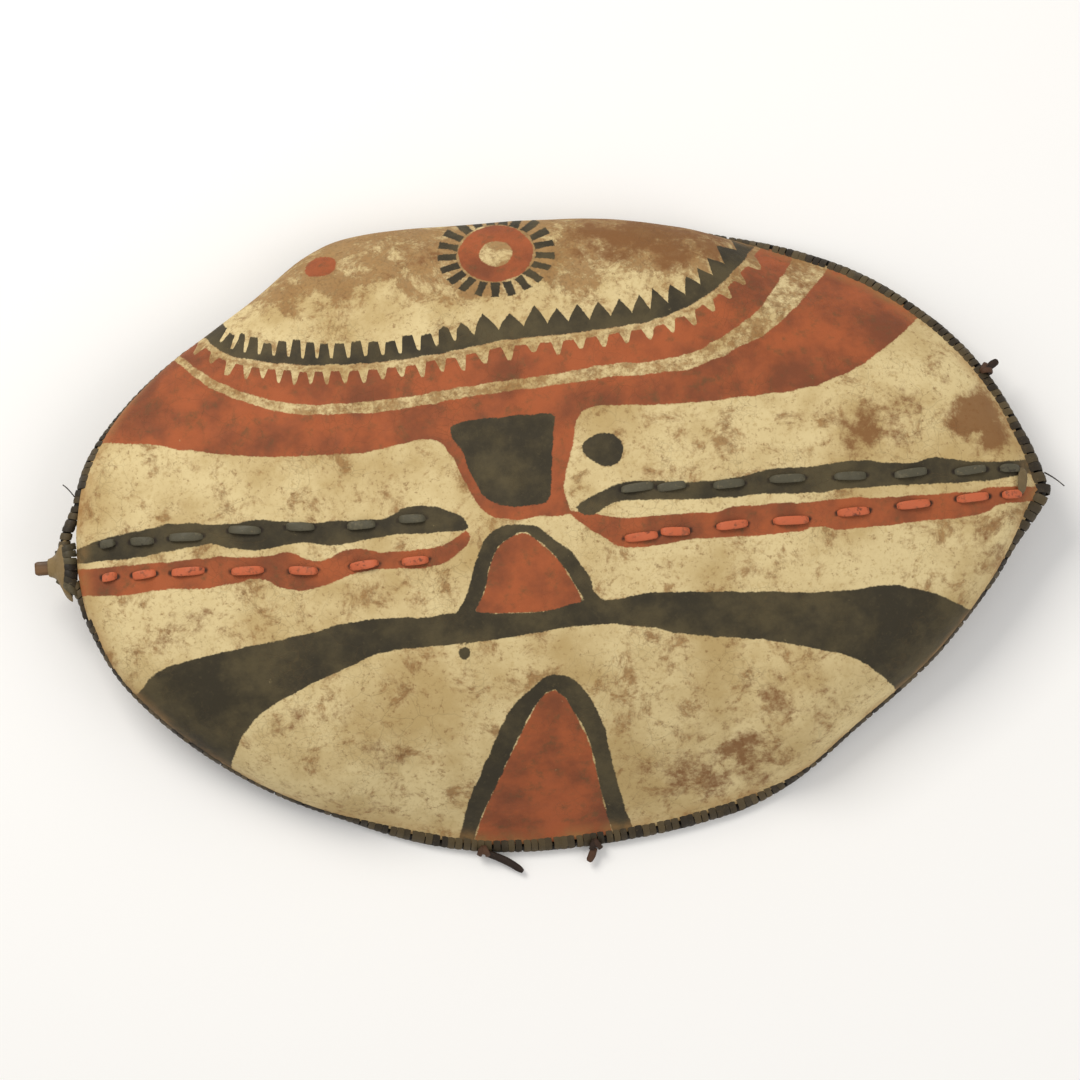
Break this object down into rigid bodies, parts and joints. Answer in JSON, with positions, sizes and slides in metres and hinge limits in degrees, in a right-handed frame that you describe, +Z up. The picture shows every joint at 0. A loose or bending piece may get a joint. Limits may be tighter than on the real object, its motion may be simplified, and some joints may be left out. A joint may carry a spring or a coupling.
{
  "type": "hide shield",
  "caption": "Long oval shield of moulded painted hide with a thong-bound rim, a wooden spine with a hand grip behind it, and laced stitching.",
  "frame": {"origin": "on the floor, under the middle of the whole object's box, with the shield lying on its rim", "axes": "+X along the spine towards the pointed tip, +Y across the shield, +Z up out of the painted face"},
  "size_m": [1.0154, 0.6612, 0.1519],
  "materials": {
    "hide": "painted, dry and cracked",
    "rim": "dark dried thong",
    "spine": "worn by the hand",
    "thong": "dried thong",
    "tie": "dark dried thong"
  },
  "bodies": {
    "root": {"hide": "hide", "rim": "rim", "spine": "spine", "lacing_butt": "thong", "lacing_tip": "thong", "butt_collar": "rim", "rim_tie_1": "tie", "rim_tie_2": "tie", "rim_tie_3": "tie"}
  },
  "joints": []
}
